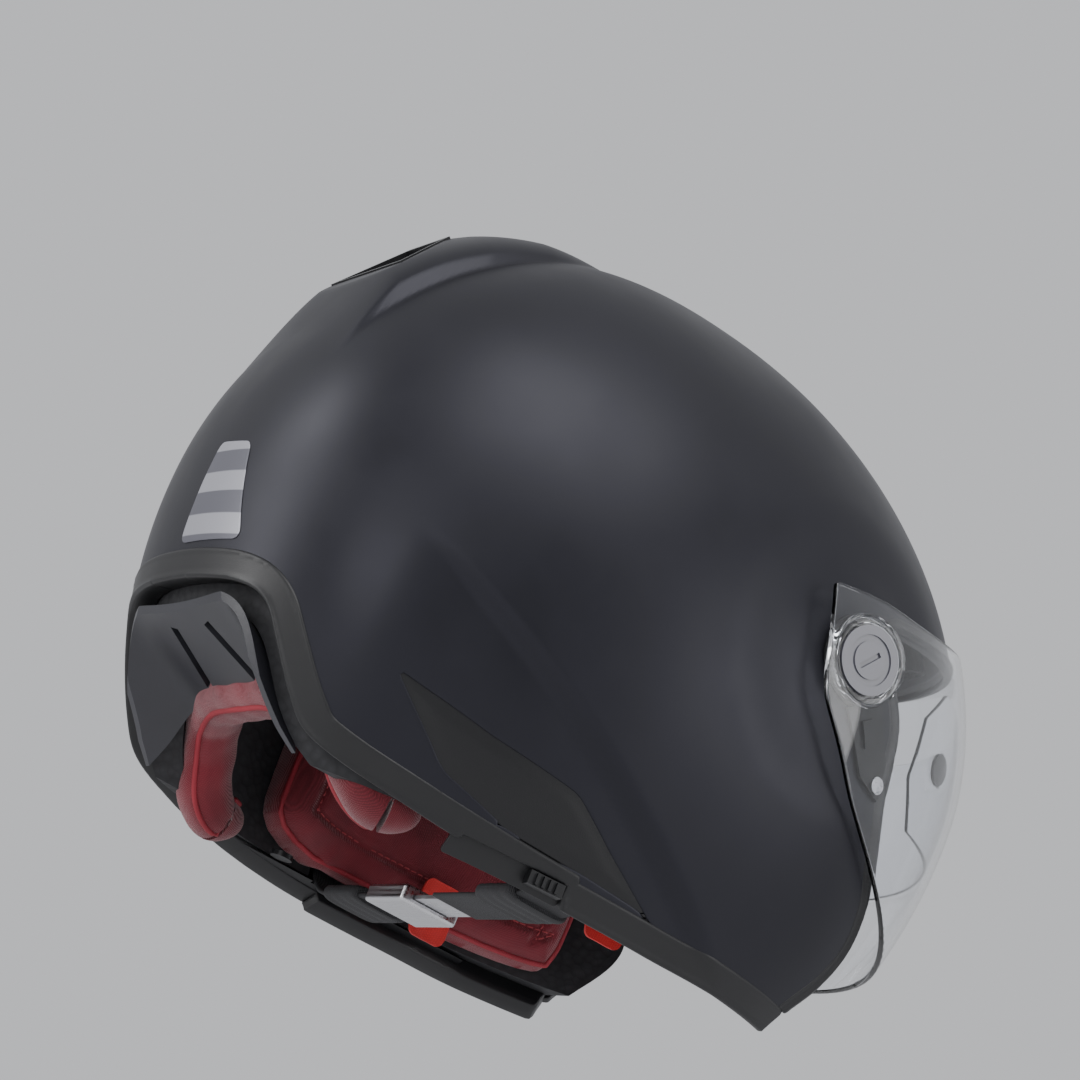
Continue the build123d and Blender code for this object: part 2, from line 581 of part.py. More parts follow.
def base_plates():
    foot = rod_x(17, -140, -100) + outline_prism_x(BASE_TAIL, 0, -140, -80)
    plate = (form(1.5) & foot) - opening(GASKET_WIDTH + 0.2)
    plate = plate - rod_x(HUB_RING_R + 2, -140, -(HUB_RING_IN - 0.3))
    plate = plate + rod_x(HUB_PIN_R, -(HUB_SEAT + HUB_CAP_GAP), -110) - form(0.1)
    y, z = BASE_SCREW
    plate = plate - rod_x(2.0, -140, -80, y, z)
    pair("base_plate", plate)
    cap = rod_x(HUB_CAP_R, -HUB_FACE, -(HUB_SEAT + HUB_CAP_GAP))
    cap = cap - rod_x(9.5, -HUB_FACE - 1, -HUB_FACE + 0.6) + rod_x(7.0, -HUB_FACE, -HUB_FACE + 0.6)
    cap = cap - (Pos(-HUB_FACE, PIVOT_Y, PIVOT_Z) * Rot(40, 0, 0) * Box(1.6, 2.0, 10))
    pair("hub_cap", cap)
    heads = [sheet(2.3, -1.5, rod_x(1.9, -140, -80, y, z)) + sheet(2.3, 1.6, rod_x(3.2, -140, -80, y, z))]
    heads.append(mirrored(heads[0]))
    save("base_plate_screws", Compound([h.solid() for h in heads]))
    lever = outline_prism_x([(-70.5, 112.5), (-66.5, 109.5), (-72.5, 101.5), (-76.5, 104.5)], 0, -140, -80)
    pair("release_lever", sheet(2.7, 1.8, lever))


# --- straps and buckle ----------------------------------------------------------------------------
def straps():
    save("chin_strap_right", strap_solid(STRAP_THICKNESS, STRAP_WIDTH, STRAP_RIGHT_END))
    save("chin_strap_left", mirrored(strap_solid(STRAP_THICKNESS, STRAP_WIDTH, STRAP_LEFT_END)))
    sleeve = box((-70, -44), (STRAP_Y - 14, STRAP_Y + 14), (2.4, 9.4))
    sleeve = fillet(sleeve.edges().filter_by(Axis.X), 2.5)
    pair("strap_pad", sleeve - strap_solid(STRAP_THICKNESS + 0.4, STRAP_WIDTH + 0.4, 20))
    pair("strap_anchor", anchor_block(0) - rivet(0.05))
    save("anchor_rivets", Compound([rivet().solid(), mirrored(rivet()).solid()]))


def buckle():
    low, high = STRAP_LIE - 3.4, STRAP_LIE + 3.8
    body = fillet(box((6, 34.6), (STRAP_Y - 13, STRAP_Y + 13), (low, high)).edges(), 1.5)
    slot = box((0, 30), (STRAP_Y - 8.3, STRAP_Y + 8.3), (STRAP_LIE - 1.1, STRAP_LIE + 1.1))
    seat = box((12, 35.5), (STRAP_Y - 8.4, STRAP_Y + 8.4), (high - 1.4, high + 3))
    axis_x, axis_z = 31.0, high - 0.2
    save("buckle_housing", body - slot - seat)
    tongue = box((-11.6, 27), (STRAP_Y - 8, STRAP_Y + 8), (STRAP_LIE - 0.8, STRAP_LIE + 0.8))
    across, deep = (STRAP_Y - 7, STRAP_Y + 7), (STRAP_LIE + 0.3, STRAP_LIE + 0.9)
    teeth = [box((x, x + 1.2), across, deep) for x in range(-4, 5, 2)]
    save("ratchet_tongue", tongue - teeth)
    lever = box((12.5, 31), (STRAP_Y - 8, STRAP_Y + 8), (high - 1.0, high + 0.6))
    lever = lever + Pos(axis_x, STRAP_Y, axis_z) * Rot(90, 0, 0) * Cylinder(0.8, 16)
    save("buckle_lever", fillet(lever.edges().filter_by(Axis.Z), 0.7))


def main():
    os.makedirs("parts", exist_ok=True)
    for build in (outer_shell, side_panels, trims, sun_slider, brow_vent, rear_label, rear_diffuser, exhaust,
                  sun_visor, foam, pads, cheek_plates, visor, base_plates, straps, buckle):
        build()
    for name, solid in parts.items():
        export_step(Pos(0, MIDDLE_SHIFT, 0) * solid, f"parts/{name}.step")


if __name__ == "__main__":
    main()
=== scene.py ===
"""Looks of the open face motorcycle helmet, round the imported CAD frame. Metres; the form is in mm."""
import json
import math

import bmesh
import bpy
import numpy as np
from mathutils import Matrix, Vector


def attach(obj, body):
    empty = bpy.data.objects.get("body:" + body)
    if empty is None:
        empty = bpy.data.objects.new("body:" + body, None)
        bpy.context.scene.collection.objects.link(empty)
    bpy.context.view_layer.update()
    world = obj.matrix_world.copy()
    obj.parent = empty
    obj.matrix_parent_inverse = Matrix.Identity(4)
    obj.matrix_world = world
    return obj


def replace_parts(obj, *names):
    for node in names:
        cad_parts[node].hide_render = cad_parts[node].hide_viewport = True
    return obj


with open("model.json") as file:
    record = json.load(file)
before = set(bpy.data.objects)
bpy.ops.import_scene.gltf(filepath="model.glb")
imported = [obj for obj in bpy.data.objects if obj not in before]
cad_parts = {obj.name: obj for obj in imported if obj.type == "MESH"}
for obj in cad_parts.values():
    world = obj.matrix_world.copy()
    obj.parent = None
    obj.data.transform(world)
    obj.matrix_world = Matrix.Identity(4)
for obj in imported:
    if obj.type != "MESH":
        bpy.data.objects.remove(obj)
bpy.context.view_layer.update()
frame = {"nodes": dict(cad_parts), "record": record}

MM = 0.001
HELMET, VISOR = "helmet", "visor"
MIDDLE_SHIFT = 9.1  # from the form's zero to the frame's
SIDES = (("right", -1), ("left", 1))
MERGE, COLLAPSE = 0.00002, 0.00001  # metres

# ---------------------------------------------------------------- the form, as the shell's design gives it
HALF_WIDTH, REAR, FRONT, CROWN, WAIST = 126.0, 158.5, 172.5, 257.0, 108.5
LEAN, SQUARENESS, DOME_POWER = 9.7, 2.25, 1.98
TUCK_SIDE, TUCK_REAR, TUCK_FRONT = 0.22, 0.19, 0.16
CAVITY = dict(half_width=95.0, rear=127.0, front=140.0, crown=219.0, tuck_side=0.1, tuck_rear=0.12)
PIVOT_Y, PIVOT_Z = -57.0, 129.0
TEMPLE_DIP, TEMPLE_FLAT_R, TEMPLE_FADE_R = 3.0, 34.0, 62.0
CREASE_DEPTH, CREASE_Y, CREASE_Z, CREASE_SLOPE, CREASE_SOFT = 4.5, 25.0, 51.0, 0.525, 7.0
GASKET_WIDTH, TRIM_HEIGHT, TRIM_PROUD, TRIM_DEPTH = 5.0, 11.0, 1.2, 9.0

OPENING = [(-97, -6), (-104, 10), (-114, 26), (-118, 42), (-113, 58), (-103, 72), (-94, 88), (-91.5, 104)]
OPENING += [(-88, 119), (-78, 133), (-71, 143), (-74, 150), (-86, 153.5), (-117, 159), (-150, 168)]
OPENING += [(-190, 173)]
ARCH = [(103, -6), (99, 1), (87, 8), (76, 13.5), (68, 20), (64.5, 30), (60, 46), (55, 57), (44, 61.5)]
ARCH += [(22, 62.5)]
ARCH_FRONT_Y = 8.0
SIDE_PANEL = [(100, 49), (62, 41), (25, 36.5), (2, 24), (-17, 15), (-33, 8), (-20, 12.5), (40, 15.5)]
SIDE_PANEL += [(70, 24)]
VISOR_REAR = [(-34, 149), (-38, 128), (-43, 110), (-58, 95.5)]
VISOR_LOWER = [(-58, 95.5), (-78, 79), (-113, 61), (-150, 48), (-190, 42)]
VISOR_TOP = [(-190, 184), (-150, 176), (-117, 165), (-88, 158), (-60, 154.6), (-34, 149)]
VISOR_GAP, VISOR_THICKNESS = 2.2, 2.2
# the crest at each y: half its width, and how far it stands up
CREST_SECTIONS = [(28, 16, -1.5), (52, 24, 3.0), (78, 30, 8.0), (104, 33, 11.5), (122, 33, 13.0)]
CREST_SECTIONS += [(138, 32, 14.0)]
EXHAUST_TOP, EXHAUST_FOOT = (107.0, 236.0), (135.0, 200.0)
EXHAUST_PORT = [(15, 16), (-15, 16), (-27, -16), (27, -16)]
CREST_SPREAD, CREST_BOW, CREST_SKIRT = 1.3, 0.4, 14
SHELL_THICKNESS, SHELL_UNDER_GASKET, SHELL_UNDER_TRIM = 3.9, 0.6, 0.8
SLOT_FRONT, SLOT_REAR, SLOT_HALF_HEIGHT, SLOT_Z = 9.5, 53.5, 3.4, 5.6
HUB_RING = [(9.3, 121.6), (16.25, 121.6), (16.25, 122.4), (17.2, 123.6), (16.6, 125.9), (15.9, 126.4),
            (13.9, 126.4), (13.5, 126.0), (13.5, 124.5), (9.3, 124.5)]


def smooth(t):
    t = np.clip(t, 0, 1)
    return t * t * (3 - 2 * t)


def level(z, grow, half_width=HALF_WIDTH, rear=REAR, front=FRONT, crown=CROWN, tuck_side=TUCK_SIDE,
          tuck_rear=TUCK_REAR):
    """Half width, front y and rear y of the form at the heights z."""
    half_width, rear, front, crown = half_width + grow, rear + grow, front + grow, crown + grow
    t = np.clip((z - WAIST) / (crown - WAIST), 0, 1)
    size = np.maximum(1 - t**DOME_POWER, 0) ** (1 / DOME_POWER)
    shift = LEAN * t**1.5
    d = np.clip((WAIST - z) / WAIST, 0, None)
    up = z >= WAIST
    return (np.where(up, half_width * size, half_width * (1 - tuck_side * d * d)),
            np.where(up, shift - front * size, -front * (1 - TUCK_FRONT * d * d)),
            np.where(up, shift + rear * size, rear * (1 - tuck_rear * d * d)))


def inset(y, z):
    """How far the side is set in: round the visor's pivot, and below the crease."""
    r = np.hypot(y - PIVOT_Y, z - PIVOT_Z)
    temple = TEMPLE_DIP * smooth((TEMPLE_FADE_R - r) / (TEMPLE_FADE_R - TEMPLE_FLAT_R))
    crease = CREASE_Z + CREASE_SLOPE * (y - CREASE_Y)
    below = smooth((crease - z) / CREASE_SOFT + 0.4) * smooth((116 - y) / 30) * smooth((y + 70) / 40)
    return temple + CREASE_DEPTH * below


def form(a, z, grow=0.0, detail=True, **size):
    """Points (mm) of the form at the angles a from the rear and the heights z."""
    half_width, front, rear = level(z, grow, **size)
    middle, half_length = (front + rear) / 2, (rear - front) / 2
    across, along = np.sin(a), np.cos(a)
    x = half_width * np.abs(across) ** (2 / SQUARENESS) * np.sign(across)
    y = middle + half_length * np.abs(along) ** (2 / SQUARENESS) * np.sign(along)
    if detail:
        x = x * (1 - inset(y, z) / np.maximum(half_width, 1))
    return np.stack([x, y, z], -1)


def unit(v):
    """Vectors scaled to length 1, along the last axis."""
    return v / np.maximum(np.linalg.norm(v, axis=-1, keepdims=True), 1e-9)


def normals_of(points):
    """Outward normals of a grid of points whose rows go up and columns run round."""
    du = np.roll(points, -1, 1) - np.roll(points, 1, 1)
    dv = np.gradient(points, axis=0)
    n = unit(np.cross(du, dv))
    out = points - np.array([0, 0, 100.0])
    return n * np.where((n * out).sum(-1, keepdims=True) < 0, -1, 1)


def heights(low, high, step, crown):
    """Rows: evenly spaced up to the waist, then by angle up to the crown."""
    rows = list(np.arange(low, min(high, WAIST), step))
    if high > WAIST:
        top = math.degrees(math.asin(min((high - WAIST) / (crown - WAIST), 1)))
        turns = np.arange(0, top, math.degrees(step / (crown - WAIST)))
        rows += [WAIST + (crown - WAIST) * math.sin(math.radians(t)) for t in turns]
    rows.append(high)
    return np.array(rows)


def grid(low, high, step, grow=0.0, from_deg=0.0, to_deg=360.0, detail=True, **size):
    """A grid of form points, with their normals. Angles are from the rear, towards +X."""
    crown = size.get("crown", CROWN) + grow
    closed = to_deg - from_deg >= 360
    count = int((to_deg - from_deg) / 360 * 860 / step)
    a = np.radians(from_deg + (to_deg - from_deg) * np.arange(count) / (count if closed else count - 1))
    z = heights(low, high, step, crown)
    aa, zz = np.meshgrid(a, z)
    eps = 1e-3
    points = form(aa, zz, grow, detail, **size)
    du = form(aa + eps, zz, grow, detail, **size) - form(aa - eps, zz, grow, detail, **size)
    dv = np.gradient(points, axis=0)
    n = np.cross(du, dv)
    no_slope = np.linalg.norm(n, axis=-1, keepdims=True) < 1e-7
    n = np.where(no_slope, np.array([0, 0, 1.0]), unit(n))
    out = points - np.array([0, 0, 95.0])
    n *= np.where((n * out).sum(-1, keepdims=True) < 0, -1, 1)
    return points, n, closed


# ---------------------------------------------------------------- outlines and distances to them
def curve(points, steps=10):
    """A smooth line through points (a centripetal Catmull-Rom spline)."""
    p = [np.array(q, float) for q in points]
    p = [2 * p[0] - p[1]] + p + [2 * p[-1] - p[-2]]
    made = []
    for a, b, c, d in zip(p, p[1:], p[2:], p[3:]):
        for i in range(steps):
            t = i / steps
            made.append(0.5 * ((2 * b) + (c - a) * t + (2 * a - 5 * b + 4 * c - d) * t**2
                               + (3 * b - a - 3 * c + d) * t**3))
    made.append(p[-2])
    return made


def inside(u, v, outline):
    """Distance (mm) into a closed outline, negative outside it."""
    o = np.array(outline, float)
    a, b = o, np.roll(o, -1, 0)
    shape = u.shape
    u, v = u.ravel(), v.ravel()
    best = np.full(u.shape, 1e18)
    odd = np.zeros(u.shape, bool)
    for (ax, ay), (bx, by) in zip(a, b):
        dx, dy = bx - ax, by - ay
        size = dx * dx + dy * dy
        if size < 1e-12:
            continue
        t = np.clip(((u - ax) * dx + (v - ay) * dy) / size, 0, 1)
        best = np.minimum(best, (u - ax - t * dx) ** 2 + (v - ay - t * dy) ** 2)
        if ay != by:
            odd ^= ((ay > v) != (by > v)) & (u < (bx - ax) * (v - ay) / (by - ay) + ax)
    d = np.sqrt(best)
    return np.where(odd, d, -d).reshape(shape)


OPENING_OUTLINE = curve(OPENING) + [(-300, 173), (-300, -60), (-97, -60)]
ARCH_OUTLINE = curve(ARCH + [(-x, z) for x, z in ARCH[::-1]]) + [(-103, -80), (103, -80)]
VISOR_OUTLINE = curve(VISOR_REAR) + curve(VISOR_LOWER) + [(-300, 42), (-300, 184)] + curve(VISOR_TOP)


def opening_gap(p):
    """Distance from the face opening's edge, positive on the shell."""
    return -inside(p[..., 1], p[..., 2], OPENING_OUTLINE)


def arch_gap(p):
    """Distance from the neck opening's edge, positive on the shell."""
    rear = -inside(p[..., 0], p[..., 2], ARCH_OUTLINE)
    return np.where(p[..., 1] > ARCH_FRONT_Y, np.minimum(rear, p[..., 2]), p[..., 2])


# ---------------------------------------------------------------- meshes from clipped grids
def clipped(points, normals, field, closed):
    """The part of a grid where field is positive, cut along field = 0: vertices, normals, faces."""
    rows, cols = field.shape
    flat_p, flat_n, f = points.reshape(-1, 3), normals.reshape(-1, 3), field.ravel()
    i, j = np.meshgrid(np.arange(rows - 1), np.arange(cols if closed else cols - 1), indexing="ij")
    k = (j + 1) % cols
    quads = np.stack([i * cols + j, i * cols + k, (i + 1) * cols + k, (i + 1) * cols + j], -1).reshape(-1, 4)
    kept = (f[quads] >= 0)
    whole, mixed = quads[kept.all(1)], quads[kept.any(1) & ~kept.all(1)]
    extra_p, extra_n, made, faces = [], [], {}, [tuple(q) for q in whole]

    def cut(a, b):
        key = (min(a, b), max(a, b))
        if key not in made:
            t = f[key[0]] / (f[key[0]] - f[key[1]])
            t = min(max(t, 0.02), 0.98)
            made[key] = len(flat_p) + len(extra_p)
            extra_p.append(flat_p[key[0]] * (1 - t) + flat_p[key[1]] * t)
            extra_n.append(flat_n[key[0]] * (1 - t) + flat_n[key[1]] * t)
        return made[key]

    for q in mixed:
        poly = []
        for a, b in zip(q, np.roll(q, -1)):
            if f[a] >= 0:
                poly.append(int(a))
            if (f[a] >= 0) != (f[b] >= 0):
                poly.append(cut(int(a), int(b)))
        if len(poly) > 2:
            faces.append(tuple(poly))
    p = np.vstack([flat_p, extra_p]) if extra_p else flat_p
    n = np.vstack([flat_n, extra_n]) if extra_n else flat_n
    used = sorted({v for face in faces for v in face})
    place = {v: s for s, v in enumerate(used)}
    return p[used], n[used], [tuple(place[v] for v in face) for face in faces]


def rounded(thickness, radius, steps=3):
    """A rim's cross section as (outwards, down) from the outer face's edge to the inner face's edge."""
    turns = [math.pi / 2 * s / steps for s in range(1, steps + 1)]
    top = [(radius * math.sin(t), radius * (1 - math.cos(t))) for t in turns]
    low = [(radius * math.cos(t), thickness - radius * (1 - math.sin(t))) for t in turns]
    return top + low


def build(name, points, normals, field, closed, thickness, radius, steps=3):
    """A closed sheet: a clipped grid as its outer face, an inner face thickness below it, and a rim between,
    eased to radius."""
    p, n, faces = clipped(points, normals, field, closed)
    n = unit(n)
    a, b, c = p[[q[0] for q in faces]], p[[q[1] for q in faces]], p[[q[2] for q in faces]]
    facing = np.einsum("ij,ij->i", np.cross(b - a, c - a), n[[q[0] for q in faces]])
    if np.median(facing) < 0:
        faces = [q[::-1] for q in faces]
    edges = dict.fromkeys((s, t) for q in faces for s, t in zip(q, q[1:] + q[:1]))
    border = [(s, t) for s, t in edges if (t, s) not in edges]
    outward = np.zeros_like(p)
    for s, t in border:
        o = np.cross(p[t] - p[s], n[s] + n[t])
        outward[s] += o
        outward[t] += o
    ids = sorted({v for e in border for v in e})
    outward[ids] = unit(outward[ids])
    base = len(p)
    verts = [p, p - n * thickness]
    ring_of = []
    count = 2 * base
    for out, down in rounded(thickness, radius, steps)[:-1]:
        verts.append(p[ids] + outward[ids] * out - n[ids] * down)
        ring_of.append({v: count + s for s, v in enumerate(ids)})
        count += len(ids)
    ring_of.append({v: base + v for v in ids})
    all_faces = list(faces) + [tuple(base + v for v in q[::-1]) for q in faces]
    for s, t in border:
        upper = {s: s, t: t}
        for lower in ring_of:
            all_faces.append((upper[t], upper[s], lower[s], lower[t]))
            upper = lower
    return mesh_object(name, np.vstack(verts), all_faces)


def mesh_object(name, verts, faces, sharp=38):
    mesh = bpy.data.meshes.new(name)
    placed = (np.asarray(verts, float) + (0, MIDDLE_SHIFT, 0)) * MM
    mesh.from_pydata(placed.tolist(), [], [tuple(int(v) for v in q) for q in faces])
    mesh.validate()
    bm = bmesh.new()
    bm.from_mesh(mesh)
    bmesh.ops.remove_doubles(bm, verts=bm.verts, dist=MERGE)
    bmesh.ops.dissolve_degenerate(bm, dist=COLLAPSE, edges=bm.edges)
    bmesh.ops.recalc_face_normals(bm, faces=bm.faces)
    bm.to_mesh(mesh)
    bm.free()
    mesh.polygons.foreach_set("use_smooth", [True] * len(mesh.polygons))
    mesh.set_sharp_from_angle(angle=math.radians(sharp))
    made = bpy.data.objects.new(name, mesh)
    bpy.context.scene.collection.objects.link(made)
    return made


# ---------------------------------------------------------------- materials
def material(name, colour, roughness, add_nodes=None, **sockets):
    made = bpy.data.materials.new(name)
    made.use_nodes = True
    tree = made.node_tree
    shader = tree.nodes["Principled BSDF"]
    shader.inputs["Base Color"].default_value = (*colour, 1)
    shader.inputs["Roughness"].default_value = roughness
    for socket, value in sockets.items():
        shader.inputs[socket.replace("_", " ")].default_value = value
    if add_nodes:
        add_nodes(tree, shader)
    return made


def node(tree, kind, inputs=None, **settings):
    made = tree.nodes.new(kind)
    for key, value in settings.items():
        setattr(made, key, value)
    for key, value in (inputs or {}).items():
        made.inputs[key].default_value = value
    return made


def noise_of(tree, scale, detail, roughness=0.55):
    where = node(tree, "ShaderNodeTexCoord")
    made = node(tree, "ShaderNodeTexNoise", {"Scale": scale, "Detail": detail, "Roughness": roughness})
    tree.links.new(where.outputs["Object"], made.inputs["Vector"])
    return made


def ramp_of(tree, source, stops):
    made = node(tree, "ShaderNodeValToRGB")
    made.color_ramp.elements[0].position, made.color_ramp.elements[1].position = stops[0][0], stops[1][0]
    made.color_ramp.elements[0].color, made.color_ramp.elements[1].color = stops[0][1], stops[1][1]
    tree.links.new(source, made.inputs["Fac"])
    return made


def grey(v):
    return (v, v, v, 1)


def bumped(tree, shader, source, strength, distance):
    bump = node(tree, "ShaderNodeBump", {"Strength": strength, "Distance": distance})
    tree.links.new(source, bump.inputs["Height"])
    tree.links.new(bump.outputs["Normal"], shader.inputs["Normal"])


def grained(scale, bump, rough_low, rough_high, tint=None, distance=0.0002):
    """Fine moulded or sprayed grain, with patches that are a little glossier."""
    def add_nodes(tree, shader):
        fine = noise_of(tree, scale, 3)
        bumped(tree, shader, fine.outputs["Fac"], bump, distance)
        broad = noise_of(tree, 22, 3)
        rough = ramp_of(tree, broad.outputs["Fac"], [(0.3, grey(rough_low)), (0.7, grey(rough_high))])
        tree.links.new(rough.outputs["Color"], shader.inputs["Roughness"])
        if tint:
            colour = ramp_of(tree, broad.outputs["Fac"], [(0.25, (*tint[0], 1)), (0.75, (*tint[1], 1))])
            tree.links.new(colour.outputs["Color"], shader.inputs["Base Color"])
    return add_nodes


def woven(dark, light, threads_per_m, strength):
    """A knit: two crossed sets of threads, with painted shade in the hollows between them, and soft wear in
    broad patches.
    """
    def add_nodes(tree, shader):
        where = node(tree, "ShaderNodeTexCoord")
        heights_made = []
        for turn in ((0.0, 0.0, 0.785), (0.785, 0.0, -0.785)):
            turned = node(tree, "ShaderNodeMapping", {"Rotation": turn})
            tree.links.new(where.outputs["Object"], turned.inputs["Vector"])
            uneven = {"Distortion": 1.2, "Detail": 1.0, "Detail Scale": 2.0}
            wave = node(tree, "ShaderNodeTexWave", {"Scale": threads_per_m, **uneven})
            tree.links.new(turned.outputs["Vector"], wave.inputs["Vector"])
            heights_made.append(wave.outputs["Fac"])
        both = node(tree, "ShaderNodeMath", operation="MULTIPLY")
        tree.links.new(heights_made[0], both.inputs[0])
        tree.links.new(heights_made[1], both.inputs[1])
        bumped(tree, shader, both.outputs["Value"], strength, 0.0006)
        broad = noise_of(tree, 30, 5)
        shade_and_wear = node(tree, "ShaderNodeMath", operation="MULTIPLY_ADD")
        shade_and_wear.inputs[1].default_value, shade_and_wear.inputs[2].default_value = 0.45, 0.0
        tree.links.new(both.outputs["Value"], shade_and_wear.inputs[0])
        tree.links.new(broad.outputs["Fac"], shade_and_wear.inputs[2])
        # painted shade: the colour is dark where the crossed threads are low, in the hollows between them,
        # and light on their tops; the broad noise adds random wear
        colour = ramp_of(tree, shade_and_wear.outputs["Value"], [(0.3, (*dark, 1)), (0.85, (*light, 1))])
        tree.links.new(colour.outputs["Color"], shader.inputs["Base Color"])
    return add_nodes


def beaded(tree, shader):
    """Expanded foam: round beads pressed together."""
    where = node(tree, "ShaderNodeTexCoord")
    cells = node(tree, "ShaderNodeTexVoronoi", {"Scale": 300.0})
    tree.links.new(where.outputs["Object"], cells.inputs["Vector"])
    bumped(tree, shader, cells.outputs["Distance"], 0.35, 0.0008)
    stops = [(0.1, (0.022, 0.022, 0.025, 1)), (0.7, (0.012, 0.012, 0.014, 1))]
    colour = ramp_of(tree, cells.outputs["Distance"], stops)
    tree.links.new(colour.outputs["Color"], shader.inputs["Base Color"])


def brushed(tree, shader):
    where = node(tree, "ShaderNodeTexCoord")
    stretch = node(tree, "ShaderNodeMapping", {"Scale": (20, 900, 900)})
    tree.links.new(where.outputs["Object"], stretch.inputs["Vector"])
    lines = node(tree, "ShaderNodeTexNoise", {"Scale": 1.0, "Detail": 3.0})
    tree.links.new(stretch.outputs["Vector"], lines.inputs["Vector"])
    rough = ramp_of(tree, lines.outputs["Fac"], [(0.3, grey(0.2)), (0.7, grey(0.42))])
    tree.links.new(rough.outputs["Color"], shader.inputs["Roughness"])
    bumped(tree, shader, lines.outputs["Fac"], 0.1, 0.0001)


def clear_coat_marks(low, high):
    """Polished clear plastic: barely uneven, with faint wipe marks in its gloss."""
    def add_nodes(tree, shader):
        marks = noise_of(tree, 35, 6, 0.7)
        rough = ramp_of(tree, marks.outputs["Fac"], [(0.45, grey(low)), (0.75, grey(high))])
        tree.links.new(rough.outputs["Color"], shader.inputs["Roughness"])
    return add_nodes


def label_bars(tree, shader):
    """A silver sticker with plain horizontal bars, and no lettering."""
    where = node(tree, "ShaderNodeTexCoord")
    wave = node(tree, "ShaderNodeTexWave", {"Scale": 19.0, "Distortion": 0.0}, bands_direction="Z")
    tree.links.new(where.outputs["Object"], wave.inputs["Vector"])
    bars = ramp_of(tree, wave.outputs["Fac"], [(0.42, (0.30, 0.30, 0.33, 1)), (0.5, (0.10, 0.10, 0.12, 1))])
    tree.links.new(bars.outputs["Color"], shader.inputs["Base Color"])


SHELL_TINT = ((0.0045, 0.0045, 0.0065), (0.0070, 0.0070, 0.0095))
DIFFUSER_TINT = ((0.016, 0.016, 0.020), (0.026, 0.026, 0.033))
SHELL = material("shell_paint", (0.006, 0.006, 0.008), 0.42, grained(2600, 0.08, 0.38, 0.47, SHELL_TINT),
                 Specular_IOR_Level=0.36, Specular_Tint=(0.86, 0.86, 1.0, 1))
TRIM = material("edge_rubber", (0.007, 0.007, 0.008), 0.42, grained(1500, 0.22, 0.36, 0.5),
                Specular_IOR_Level=0.42)
PANEL = material("moulded_panel", (0.006, 0.006, 0.007), 0.4, grained(1900, 0.25, 0.36, 0.47),
                 Specular_IOR_Level=0.36)
DIFFUSER = material("diffuser_plastic", (0.040, 0.040, 0.050), 0.4,
                    grained(1700, 0.3, 0.33, 0.5, DIFFUSER_TINT))
MESH = material("grille_black", (0.008, 0.008, 0.009), 0.5, grained(1500, 0.2, 0.45, 0.6))
# in each knit below, the darker colour is painted shade in the hollows between threads and the lighter one is
# the raised threads
FABRIC = material("lining_knit", (0.13, 0.008, 0.014), 0.85,
                  woven((0.060, 0.003, 0.007), (0.21, 0.012, 0.024), 620, 0.5),
                  Sheen_Weight=0.35, Sheen_Roughness=0.4)
PIPING = material("piping_cord", (0.25, 0.012, 0.022), 0.7,
                  woven((0.13, 0.006, 0.012), (0.34, 0.02, 0.035), 900, 0.3))
FOAM = material("bead_foam", (0.016, 0.016, 0.018), 0.75, beaded)
WEBBING = material("strap_webbing", (0.015, 0.015, 0.017), 0.7,
                   woven((0.006, 0.006, 0.007), (0.030, 0.030, 0.034), 520, 0.7))
TAB = material("pull_tab", (0.55, 0.012, 0.010), 0.6,
               woven((0.34, 0.008, 0.008), (0.70, 0.02, 0.016), 700, 0.4))
STEEL = material("brushed_steel", (0.55, 0.55, 0.57), 0.3, brushed, Metallic=1.0)
LEVER = material("anodised_lever", (0.35, 0.012, 0.02), 0.3, brushed, Metallic=0.8)
HUB = material("hub_gloss", (0.10, 0.10, 0.12), 0.15, grained(900, 0.05, 0.10, 0.2), Coat_Weight=0.4)
CLEAR = material("visor_clear", (0.97, 0.98, 1.0), 0.02, clear_coat_marks(0.015, 0.05),
                 Transmission_Weight=1.0, IOR=1.45)
SMOKE = material("sun_smoke", (0.10, 0.10, 0.115), 0.05, clear_coat_marks(0.03, 0.07),
                 Transmission_Weight=0.75, IOR=1.45)
LABEL = material("silver_label", (0.30, 0.30, 0.33), 0.4, label_bars, Metallic=0.3)
# the darker colour is painted shade in the hollows between threads, the lighter one the raised threads
THREAD = material("stitch_thread", (0.30, 0.03, 0.04), 0.6,
                  woven((0.2, 0.015, 0.02), (0.42, 0.05, 0.06), 1500, 0.3))


def finish_piece(piece, look, body=HELMET, replaces=()):
    piece.data.materials.clear()
    piece.data.materials.append(look)
    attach(piece, body)
    if replaces:
        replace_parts(piece, *replaces)
    return piece


# ---------------------------------------------------------------- hard pieces that follow the form
def crown_height(y):
    """Height of the plain form on the middle plane at each y."""
    low, high = np.full(y.shape, WAIST), np.full(y.shape, CROWN)
    for _ in range(26):
        z = (low + high) / 2
        _, front, rear = level(z, 0.0)
        within = (front < y) & (y < rear)
        low, high = np.where(within, z, low), np.where(within, high, z)
    return low


def crest_rise(p):
    """How far up the shell stands above the plain form, for the hump on the rear of the crown."""
    x, y, z = p[..., 0], p[..., 1], p[..., 2]
    where = [row[0] for row in CREST_SECTIONS]
    half = CREST_SPREAD * np.interp(y, where, [row[1] for row in CREST_SECTIONS])
    rise = np.interp(y, where, [row[2] for row in CREST_SECTIONS])
    bow = np.clip(1 - (x / half) ** 2, 0, 1) ** CREST_BOW
    above = crown_height(y) - CREST_SKIRT + (CREST_SKIRT + rise) * bow - z
    soft = 0.5 * (above + np.sqrt(above * above + 1.0)) * smooth((half - np.abs(x)) / 3)
    return np.where(z > 150, soft, 0) * smooth((y - 24) / 14) * smooth((147 - y) / 14)


